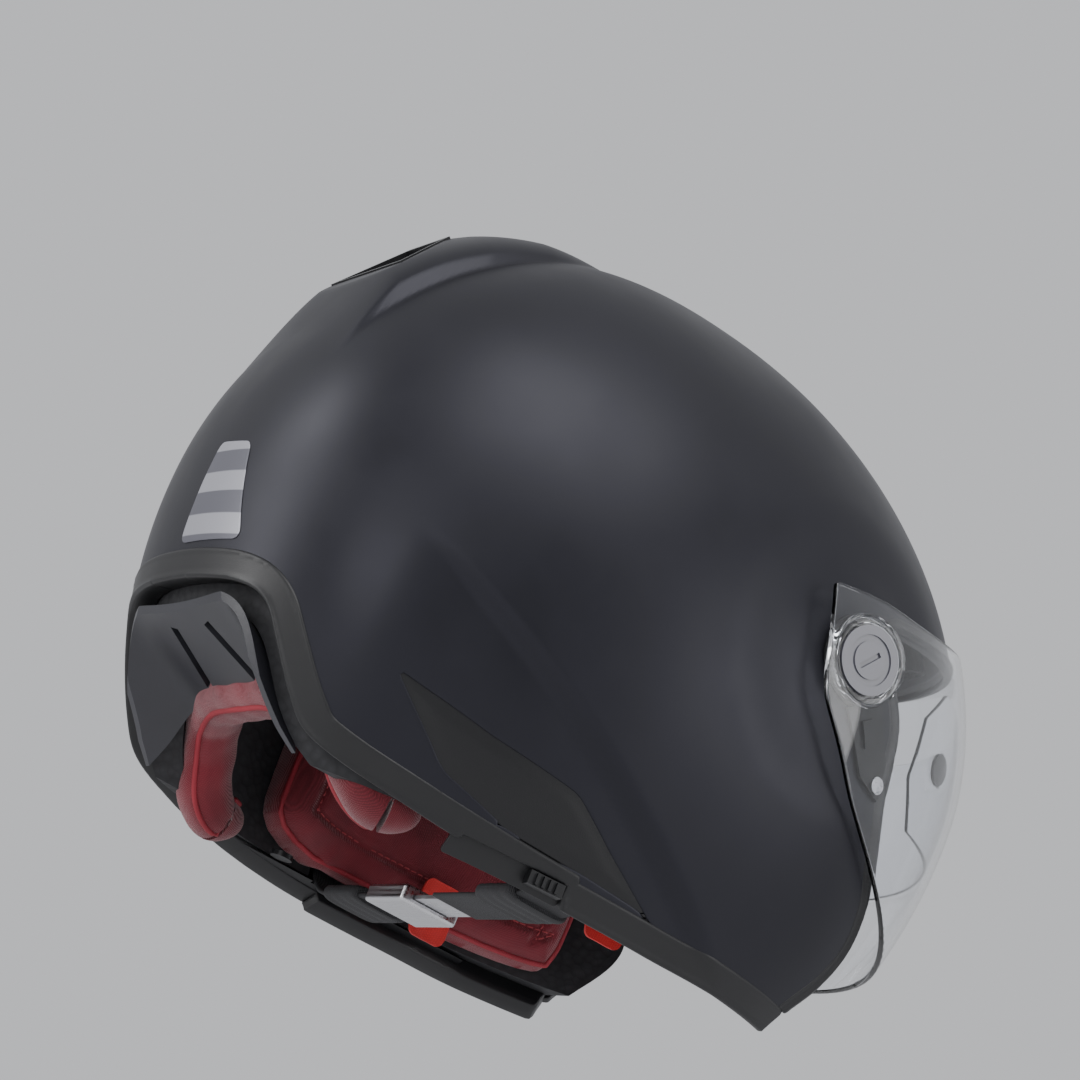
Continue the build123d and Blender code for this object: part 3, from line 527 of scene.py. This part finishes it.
def exhaust_axes():
    """The exhaust face's middle, the way up along it and the way out of it."""
    (ty, tz), (fy, fz) = EXHAUST_TOP, EXHAUST_FOOT
    along = np.array([0, ty - fy, tz - fz]) / math.hypot(ty - fy, tz - fz)
    out = np.array([0, along[2], -along[1]])
    return np.array([0, (ty + fy) / 2, (tz + fz) / 2]), along, out


def outer_shell():
    """The shell with its crest, cut flat at the exhaust and open at the port and the side panels."""
    p, _, closed = grid(8, CROWN, 1.7)
    lift = np.array([0, 0, 1.0])
    rise = crest_rise(p)
    lifted = p + lift * rise[..., None]
    centre, along, out = exhaust_axes()
    beyond = (lifted - centre) @ out
    back = np.clip(beyond / (lift @ out), 0, rise)
    p = lifted - lift * back[..., None]
    n = normals_of(p)
    keep = np.minimum(opening_gap(p) - (GASKET_WIDTH - SHELL_UNDER_GASKET),
                      arch_gap(p) - (TRIM_HEIGHT - SHELL_UNDER_TRIM))
    for side in (-1, 1):
        panel = inside(p[..., 1], p[..., 2], panel_outline(0.5))
        keep = np.where(p[..., 0] * side > 40, np.minimum(keep, -panel), keep)
    local = p - centre
    u, v = local[..., 0], local @ along
    on_face = np.abs(local @ out) < 3.0
    keep = np.where(on_face & (p[..., 2] > 190), np.minimum(keep, -inside(u, v, EXHAUST_PORT)), keep)
    shell = build("shell_skin", p, n, keep, closed, SHELL_THICKNESS, 0.9)
    finish_piece(shell, SHELL, replaces=["outer_shell"])


def panel_outline(grow):
    """The side panel's outline with its corners eased, moved outwards by grow."""
    return rounded_outline(SIDE_PANEL, 0.12, grow, 5)


def side_panels():
    """The long panels let into the shell's lower sides."""
    for name, low, high in (("right", 180, 336), ("left", 24, 180)):
        p, n, closed = grid(5, 54, 0.9, -0.5, low, high)
        panel = inside(p[..., 1], p[..., 2], panel_outline(-0.15))
        bulge = 0.5 * smooth(panel / 5.0)
        made = build(f"side_panel_{name}_skin", p + n * bulge[..., None], n, panel, closed, 2.0, 0.6)
        finish_piece(made, PANEL, replaces=[f"side_panel_{name}"])


def neck_trim():
    """The rubber band round the neck opening and the rear arch, with the slider's slot in its right side."""
    p, n, closed = grid(-1.0, 78, 1.1, TRIM_PROUD)
    gap = arch_gap(p)
    bead = 0.9 * smooth(1 - gap / 2.4) + 0.5 * smooth(1 - (TRIM_HEIGHT - gap) / 1.6) - 0.5
    keep = np.minimum(np.minimum(gap - 1.32, TRIM_HEIGHT - 1.2 - gap), opening_gap(p) - 1.3)
    slide_way = (p[..., 0] < 0) * np.minimum(np.minimum(p[..., 1] - SLOT_FRONT, SLOT_REAR - p[..., 1]),
                                             SLOT_HALF_HEIGHT - np.abs(p[..., 2] - SLOT_Z))
    keep = np.where(p[..., 0] < 0, np.minimum(keep, -slide_way), keep)
    made = build("neck_trim_skin", p + n * bead[..., None], n, keep, closed, TRIM_DEPTH + 1.0, 1.3, 4)
    finish_piece(made, TRIM, replaces=["neck_trim"])
    slot_floor()


def slot_floor():
    """The bottom of the slider's slot, inside the trim."""
    p, n, closed = grid(1, 11, 0.9, -3.6, 180, 300)
    keep = np.minimum(np.minimum(p[..., 1] - 8.5, 54.5 - p[..., 1]), 4.0 - np.abs(p[..., 2] - SLOT_Z))
    finish_piece(build("slider_channel", p, n, keep, closed, 2.0, 0.3), TRIM)


def eyeport_gasket():
    """The rubber bead round the face opening."""
    p, n, closed = grid(9, 180, 1.2, 0.2)
    gap = opening_gap(p)
    bead = 0.9 * smooth(1 - np.abs(gap - 1.6) / 1.7)
    keep = np.minimum(np.minimum(gap, GASKET_WIDTH - gap), p[..., 2] - TRIM_HEIGHT - 0.3)
    made = build("gasket_skin", p + n * bead[..., None], n, keep, closed, 3.8, 0.8)
    finish_piece(made, TRIM, replaces=["eyeport_gasket"])


def visor_screen():
    """The clear screen, and the ring round each of its hubs."""
    p, n, closed = grid(38, 190, 1.3, VISOR_GAP + VISOR_THICKNESS, detail=False)
    keep = np.where(p[..., 1] < -30, inside(p[..., 1], p[..., 2], VISOR_OUTLINE), -5.0)
    r = np.hypot(p[..., 1] - PIVOT_Y, p[..., 2] - PIVOT_Z)
    keep = np.where(np.abs(p[..., 0]) > 60, np.minimum(keep, r - 16.0), keep)
    made = build("visor_screen", p, n, keep, closed, VISOR_THICKNESS, 0.7)
    finish_piece(made, CLEAR, VISOR, replaces=["visor"])
    for name, side in SIDES:
        finish_piece(turned(f"visor_hub_ring_{name}", side, HUB_RING), CLEAR, VISOR)


def turned(name, side, outline, segments=96):
    """A ring round the visor's pivot line, from corners (radius, distance from the middle plane)."""
    verts, faces, count = [], [], len(outline)
    for s in range(segments):
        t = 2 * math.pi * s / segments
        for r, x in outline:
            verts.append((side * x, PIVOT_Y + r * math.cos(t), PIVOT_Z + r * math.sin(t)))
    for s in range(segments):
        for k in range(count):
            a, b = s * count + k, s * count + (k + 1) % count
            c, d = ((s + 1) % segments) * count + (k + 1) % count, ((s + 1) % segments) * count + k
            faces.append((a, b, c, d))
    return mesh_object(name, verts, faces)


# ---------------------------------------------------------------- padding and webbing
def joined(front, back, field, closed):
    """Vertices and faces of the solid between two grids, cut along field = 0."""
    f, b, faces = clipped(front, back, field, closed)
    count = len(f)
    skin = list(faces) + [tuple(v + count for v in q[::-1]) for q in faces]
    edges = {(s, t) for q in faces for s, t in zip(q, q[1:] + q[:1])}
    skin += [(t, s, s + count, t + count) for s, t in edges if (t, s) not in edges]
    return np.vstack([f, b]), skin


def pad(name, front, back, field, closed):
    """A stuffed piece between two grids that meet at the border of field."""
    made = mesh_object(name, *joined(front, back, field, closed), sharp=70)
    finish_piece(made, FABRIC)
    return made


def tube_faces(rings, count, first=0):
    """Faces of a closed tube of rings with count vertices each, capped at both ends."""
    at = [[first + i * count + k % count for k in range(count + 1)] for i in range(rings)]
    faces = [(a[k], a[k + 1], b[k + 1], b[k]) for a, b in zip(at, at[1:]) for k in range(count)]
    return faces + [tuple(at[0][:-1]), tuple(at[-1][:-1])[::-1]]


def puffed(depth, radius):
    """Share of the full thickness at a distance inside the border: a quarter round of that radius."""
    t = np.clip(depth / radius, 0, 1)
    return np.sqrt(np.clip(1 - (1 - t) ** 2, 0, 1))


def groove(distance, width):
    return np.exp(-((distance / width) ** 2))


def cord_along(name, line, radius, look, sides=8):
    """A thin round cord along a line of points."""
    way = unit(np.gradient(line, axis=0))
    aside = unit(np.cross(way, (0.31, 0.17, 0.93)))
    other = np.cross(way, aside)
    turn = np.linspace(0, 2 * math.pi, sides, endpoint=False)
    rings = [line + radius * (math.cos(t) * aside + math.sin(t) * other) for t in turn]
    verts = np.stack(rings, 1).reshape(-1, 3)
    finish_piece(mesh_object(name, verts, tube_faces(len(line), sides), 80), look)


CHEEK = [(47, 14), (47, 70), (40, 96), (20, 103), (-60, 103), (-81, 98), (-80, 84), (-89, 68), (-91.5, 48),
         (-90, 26), (-86, 14)]
CHEEK_EASING, CHEEK_ROUND, CHEEK_SEAM = 0.3, 17, 15.0


def cheek_faces(y, z):
    """Half widths of the cheek pad's wearer side and foam side, without its rounding."""
    half_width, front, rear = level(z, -0.9, **CAVITY)
    share = np.clip(np.abs(y - (front + rear) / 2) / ((rear - front) / 2), 0, 1)
    back = half_width * (1 - share**SQUARENESS) ** (1 / SQUARENESS)
    valley = 8.5 * smooth((34 - z) / 12) * smooth((19 - np.abs(y - 2)) / 6)
    face = 67 * np.sqrt(np.clip(1 - ((y + 5) / 119) ** 2, 0.02, 1))
    return np.minimum(face, back - 2), back - valley


def cheek_line(side, depth, lift):
    """A closed line on the cheek pad's face, at a distance inside its outline."""
    path = rounded_outline(CHEEK, CHEEK_EASING, -depth)
    y, z = np.array(path + path[:1]).T
    face, back = cheek_faces(y, z)
    x = face + (back - face) * (1 - puffed(np.full(y.shape, depth), CHEEK_ROUND)) + lift
    return np.stack([side * x, y, z], 1)


def cheek_pads():
    """The cheek pads with their sewn seams, piping and stitches."""
    y, z = np.meshgrid(np.arange(-96, 51, 1.1), np.arange(12, 106, 1.1))
    depth = inside(y, z, rounded_outline(CHEEK, CHEEK_EASING))
    face, back = cheek_faces(y, z)
    seam = inside(y, z, rounded_outline(CHEEK, CHEEK_EASING, -CHEEK_SEAM))
    full = face + (back - face) * (1 - puffed(depth, CHEEK_ROUND))
    dimple = 2.2 * groove(seam, 1.6) + 1.1 * groove(z - 58 - 0.22 * (y + 20), 1.5) * (seam > 0)
    soft = 0.45 * np.sin(y * 0.19 + z * 0.11) * np.sin(z * 0.23 - y * 0.07) * smooth(depth / 10)
    puff = 1.6 * smooth(seam / 14)
    full = np.minimum(full + dimple - puff + soft + 1.6, back - 0.2)
    for name, side in SIDES:
        front_points = np.stack([side * full, y, z], -1)
        back_points = np.stack([side * back, y, z], -1)
        made = pad(f"cheek_pad_{name}_cover", front_points, back_points, depth, False)
        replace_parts(made, f"cheek_pad_{name}")
        cord_along(f"cheek_piping_{name}", cheek_line(side, 2.6, 1.0), 1.2, PIPING)
        stitches(f"cheek_stitches_{name}", cheek_line(side, CHEEK_SEAM, 2.0), (side * -1.0, 0, 0))


def rounded_outline(points, share, grow=0.0, steps=6):
    """A closed outline with eased corners, moved outwards by grow."""
    count, line = len(points), []
    for i in range(count):
        before, at, after = (np.array(points[(i + s) % count], float) for s in (-1, 0, 1))
        for t in np.linspace(0, 1, steps):
            a, b = at + (before - at) * share, at + (after - at) * share
            line.append(a * (1 - t) ** 2 + at * 2 * t * (1 - t) + b * t * t)
    line = np.array(line)
    way = unit(np.roll(line, -1, 0) - np.roll(line, 1, 0))
    side = np.stack([way[:, 1], -way[:, 0]], 1)
    if np.mean(np.einsum("ij,ij->i", side, line - line.mean(0))) < 0:
        side = -side
    return [tuple(q) for q in line + side * grow]


def stitches(name, line, out, pitch=3.2, long=2.1, radius=0.28):
    """Short raised stitches along a line."""
    line, up = np.array(line, float), np.array(out, float)
    total = np.concatenate([[0], np.cumsum(np.linalg.norm(np.diff(line, axis=0), axis=1))])
    verts, faces = [], []
    for s in np.arange(pitch, total[-1] - pitch, pitch):
        a = np.array([np.interp(s - long / 2, total, line[:, k]) for k in range(3)])
        b = np.array([np.interp(s + long / 2, total, line[:, k]) for k in range(3)])
        way = (b - a) / max(np.linalg.norm(b - a), 1e-9)
        aside = np.cross(way, up)
        aside /= max(np.linalg.norm(aside), 1e-9)
        base = len(verts)
        for centre, lift in ((a, -0.1), ((a + b) / 2, 0.32), (b, -0.1)):
            for t in range(6):
                c, d = math.cos(t * math.pi / 3), math.sin(t * math.pi / 3)
                verts.append(centre + up * (lift + radius * d) + aside * radius * c)
        faces += tube_faces(3, 6, base)
    finish_piece(mesh_object(name, verts, faces, 80), THREAD)


def neck_roll():
    """The U-shaped roll round the nape, with its seam and piping on the edge that shows from below."""
    t = np.linspace(-1, 1, 181)
    corners = [(0, 104, 43), (24, 103, 42.6), (43, 97, 39), (54, 89.5, 29), (61, 82, 17), (65, 74, 11.5)]
    corners += [(67.5, 66, 12), (69, 59, 14)]
    half = np.array(curve(corners, 15))
    whole = np.vstack([half[::-1] * (-1, 1, 1), half[1:]])
    along = np.concatenate([[0], np.cumsum(np.linalg.norm(np.diff(whole, axis=0), axis=1))])
    spots = (t + 1) / 2 * along[-1]
    path = np.stack([np.interp(spots, along, whole[:, k]) for k in range(3)], 1)
    x, y, z = path.T
    way = unit(np.gradient(path, axis=0))
    out = np.stack([x * 0.9, (y - 40) * 0.25, z - 8], 1)
    out = unit(out - way * np.einsum("ij,ij->i", out, way)[:, None])
    back = np.cross(way, out)
    back *= np.where(back[:, 1:2] < 0, -1, 1)
    ends = puffed((1 - np.abs(t)) * 90, 16)[:, None]
    turns = np.linspace(0, 2 * math.pi, 37)[:-1]
    rings = []
    for a in turns:
        r = 11.5 * (1 - 0.06 * groove(math.sin(a) - 0.2, 0.1))
        ripple = 1 + 0.02 * np.sin(t * 41 + a * 2)[:, None]
        rings.append(path + ends * ripple * (out * r * math.cos(a) * 0.9 + back * 10.5 * math.sin(a)))
    verts = np.stack(rings, 1).reshape(-1, 3)
    made = mesh_object("neck_pad_roll", verts, tube_faces(len(t), len(turns)), 75)
    finish_piece(made, FABRIC)
    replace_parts(made, "neck_pad")
    inner_line = path[6:-6] - ends[6:-6] * out[6:-6] * 6.6 + ends[6:-6] * back[6:-6] * 8.2
    cord_along("neck_piping", inner_line, 1.1, PIPING)


def lining_pads():
    """The crown and brow pads: quilted sheets on the foam's inside."""
    for name, low, high in (("crown", 153, CAVITY["crown"] - 0.7), ("brow", 151, 186.4)):
        p, n, closed = grid(low, high, 2.4, -0.7, detail=False, **CAVITY)
        x, y, z = p[..., 0], p[..., 1], p[..., 2]
        clear = opening_gap(p) - 12.5
        if name == "crown":
            field = np.minimum(np.minimum(z - 153, clear), np.where(z < 188.5, y + 43.4, 50.0))
        else:
            field = np.minimum(np.minimum(np.minimum(z - 151, 186.4 - z), -45.2 - y), clear)
        quilt = 0.9 * (groove(np.sin(x * 0.085), 0.10) + groove(np.sin(y * 0.085 + 0.6), 0.10))
        thick = (7.0 - quilt) * puffed(field, 8)
        made = pad(f"{name}_pad_cover", p - n * np.maximum(thick, 0.2)[..., None], p, field, closed)
        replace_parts(made, f"{name}_pad")


STRAP_Y = 2.0
SLEEVE_FROM, SLEEVE_TO = 44.3, 69.7


def ribbon(name, line, width, thickness):
    """Flat webbing along a line in the x-z plane, its width along y, with rounded edges."""
    way = unit(np.gradient(np.array(line, float), axis=0))
    up = np.stack([-way[:, 1], way[:, 0]], 1)
    half, r = width / 2, thickness / 2
    bends = np.linspace(0.3, math.pi - 0.3, 5)
    section = [(y, r) for y in np.linspace(-half + r, half - r, 9)]
    section += [(half - r + r * math.sin(a), r * math.cos(a)) for a in bends]
    section += [(y, -r) for y in np.linspace(half - r, -half + r, 9)]
    section += [(-half + r - r * math.sin(a), -r * math.cos(a)) for a in bends]
    verts = [(x + ux * h, STRAP_Y + y, z + uz * h) for (x, z), (ux, uz) in zip(line, up) for y, h in section]
    made = mesh_object(name, verts, tube_faces(len(line), len(section)), 60)
    return finish_piece(made, WEBBING)


def straps():
    """The chin strap's two halves, with their stitches and sleeves."""
    for (name, side), end in zip(SIDES, (12.0, 35.0)):
        route = [(97.6, 30.6), (92.4, 21.6), (87, 13.5), (82, 9.2), (76, 6.6), (66, 5.3), (52, 5.0)]
        route += [(end + 8, 5.0), (end, 5.0)]
        line = [(side * q[0], q[1]) for q in curve(route, 8)]
        strap = ribbon(f"chin_strap_{name}_webbing", line, 21.6, 1.7)
        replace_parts(strap, f"chin_strap_{name}")
        for k, y in enumerate((-7.6, 7.6)):
            seam = [(side * x, STRAP_Y + y, 5.86) for x in np.linspace(end + 1, end + 9, 12)]
            stitches(f"chin_strap_{name}_stitches_{k}", seam, (0, 0, 1.0), 2.2, 1.5, 0.22)
        sleeve(name, side)


def sleeve(name, side):
    """The soft sleeve round the strap."""
    turns = np.linspace(0, 2 * math.pi, 41)[:-1]
    stations = np.linspace(SLEEVE_FROM, SLEEVE_TO, 27)
    verts = []
    for at in stations:
        ease = 0.86 + 0.14 * float(puffed(min(at - SLEEVE_FROM, SLEEVE_TO - at), 4))
        for a in turns:
            c, s = math.cos(a), math.sin(a)
            y = 13.7 * ease * abs(c) ** 0.42 * (1 if c > 0 else -1)
            z = 3.3 * ease * abs(s) ** 0.75 * (1 if s > 0 else -1) * (1 - 0.05 * math.cos(at * 0.9))
            verts.append((side * at, STRAP_Y + y, 5.9 + z))
    made = mesh_object(f"strap_sleeve_{name}", verts, tube_faces(len(stations), len(turns)), 60)
    finish_piece(made, WEBBING)
    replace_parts(made, f"strap_pad_{name}")


def tabs():
    """The pull tabs of the cheek pads: strips of webbing with eased corners."""
    yy, zz = np.meshgrid(np.linspace(-39.6, -22.4, 19), np.linspace(5.4, 29.6, 30))
    corners = [(-39.7, 5.3), (-22.3, 5.3), (-22.3, 29.8), (-39.7, 29.8)]
    field = inside(yy, zz, rounded_outline(corners, 0.22))
    bow = 0.35 * np.sin((zz - 5) * 0.12) + 0.12 * np.sin(yy * 0.8)
    for name, side in SIDES:
        front = np.stack([side * (63.0 - 0.55 + bow), yy, zz], -1)
        back = np.stack([side * (63.0 + 0.55 + bow), yy, zz], -1)
        made = mesh_object(f"pull_tab_{name}", *joined(front, back, field, False), 60)
        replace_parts(finish_piece(made, TAB), f"emergency_tab_{name}")


def fog_insert_clear():
    """The clear insert inside the screen, notched round its two pins."""
    p, n, closed = grid(84, 150, 1.5, VISOR_GAP - 0.9, detail=False)
    outline = [(-260, 88), (-112, 88), (-100, 104), (-100, 128), (-112, 144), (-260, 147)]
    field = np.where(p[..., 1] < -60, inside(p[..., 1], p[..., 2], outline), -5.0)
    pin = np.hypot(p[..., 1] + 118, p[..., 2] - 116)
    field = np.where(np.abs(p[..., 0]) > 60, np.minimum(field, pin - 6.2), field)
    made = build("fog_insert_clear", p, n, field, closed, 1.2, 0.35)
    finish_piece(made, CLEAR, VISOR, replaces=["fog_insert"])


def label():
    """The plain sticker on the shell's rear."""
    p, n, closed = grid(70, 122, 1.0, 0.35, -40, 40)
    outline = rounded_outline([(-7, 116), (-27, 115), (-39.5, 77), (-3, 76)], 0.12)
    field = np.where(p[..., 1] > 40, inside(p[..., 0], p[..., 2], outline), -5.0)
    made = build("rear_label_sticker", p, n, field, closed, 0.3, 0.1)
    finish_piece(made, LABEL, replaces=["rear_label"])


def cad_looks():
    """Materials for the CAD pieces that stay, and eased edges with hardened normals on some of them."""
    looks = {"shell": SHELL, "trim": TRIM, "panel": PANEL, "diffuser": DIFFUSER, "mesh": MESH, "clear": CLEAR,
             "insert_clear": CLEAR, "smoke": SMOKE, "hub": HUB, "steel": STEEL, "lever": LEVER, "foam": FOAM,
             "fabric": FABRIC, "webbing": WEBBING, "tab": TAB, "label": LABEL}
    soft_edge = {"rear_diffuser": 0.7, "exhaust_frame": 0.6, "brow_vent_housing": 0.5, "buckle_housing": 0.4,
                 "sun_slider": 0.4, "brow_vent_slider": 0.4, "hub_cap_left": 0.3, "hub_cap_right": 0.3}
    for entry in frame["record"]["subparts"]:
        piece = frame["nodes"].get(entry["node"])
        if piece is None:
            continue
        piece.data.materials.clear()
        piece.data.materials.append(looks[entry["material_slot"]])
        if entry["node"] in soft_edge:
            bevel = piece.modifiers.new("edges", "BEVEL")
            bevel.width, bevel.segments, bevel.limit_method = soft_edge[entry["node"]] * MM, 2, "ANGLE"
            bevel.angle_limit, bevel.harden_normals = math.radians(40), True


# ---------------------------------------------------------------- camera, light and floor
PHOTO_TARGET = (-34.52, 38.07 + MIDDLE_SHIFT, 137.55)
PHOTO_AZIMUTH, PHOTO_ELEVATION, PHOTO_ROLL = math.radians(242.59), math.radians(-19.07), math.radians(21.95)
PHOTO_DISTANCE, PHOTO_LENS, PHOTO_SENSOR = 1.19231, 106.67, 36.0
LAMP_AIM = (0, 0, 0.12)
LAMPS = [("key", (-1.1, 0.5, 1.6), (1.6, 1.1), 24, LAMP_AIM),
         ("rear_strip", (0.5, 1.8, 0.5), (0.5, 1.6), 20, LAMP_AIM),
         ("front_fill", (-1.6, -1.2, 0.5), (1.2, 1.2), 12, LAMP_AIM),
         ("neck_fill", (-0.9, 1.3, 0.12), (0.4, 0.4), 4, (0, 0.02, 0.06))]
FLOOR_SIZE, FLOOR_Z = 90, -0.36


def photo_camera():
    """The camera at the photo's view: behind, to the right and below, and rolled."""
    azimuth, elevation, roll = PHOTO_AZIMUTH, PHOTO_ELEVATION, PHOTO_ROLL
    back = Vector((math.sin(azimuth) * math.cos(elevation), -math.cos(azimuth) * math.cos(elevation),
                   math.sin(elevation)))
    right = Vector((0, 0, 1)).cross(back).normalized()
    up = back.cross(right)
    tilted = right * math.cos(roll) + up * math.sin(roll)
    upward = up * math.cos(roll) - right * math.sin(roll)
    data = bpy.data.cameras.new("photo_view")
    data.lens, data.sensor_width = PHOTO_LENS, PHOTO_SENSOR
    camera = bpy.data.objects.new("photo_view", data)
    rows = Matrix((tilted, upward, back)).transposed().to_4x4()
    rows.translation = Vector(PHOTO_TARGET) * MM + back * PHOTO_DISTANCE
    camera.matrix_world = rows
    bpy.context.scene.collection.objects.link(camera)
    bpy.context.scene.camera = camera


def studio():
    """The lamps, the floor and the sky."""
    for name, place, size, power, aim in LAMPS:
        light = bpy.data.lights.new(name, "AREA")
        light.shape, light.size, light.size_y, light.energy = "RECTANGLE", size[0], size[1], power
        item = bpy.data.objects.new(name, light)
        item.location = place
        item.rotation_euler = (Vector(aim) - Vector(place)).to_track_quat("-Z", "Y").to_euler()
        bpy.context.scene.collection.objects.link(item)
    bpy.ops.mesh.primitive_plane_add(size=FLOOR_SIZE, location=(0, 0, FLOOR_Z))
    floor = bpy.context.object
    floor.name = "studio_floor"
    floor.data.materials.append(material("floor_paint", (0.72, 0.72, 0.73), 0.7))
    world = bpy.data.worlds.new("studio")
    bpy.context.scene.world = world
    world.use_nodes = True
    world.node_tree.nodes["Background"].inputs["Color"].default_value = (0.86, 0.87, 0.9, 1)
    world.node_tree.nodes["Background"].inputs["Strength"].default_value = 0.75


cad_looks()
outer_shell()
side_panels()
neck_trim()
eyeport_gasket()
visor_screen()
fog_insert_clear()
label()
cheek_pads()
neck_roll()
lining_pads()
straps()
tabs()
photo_camera()
studio()
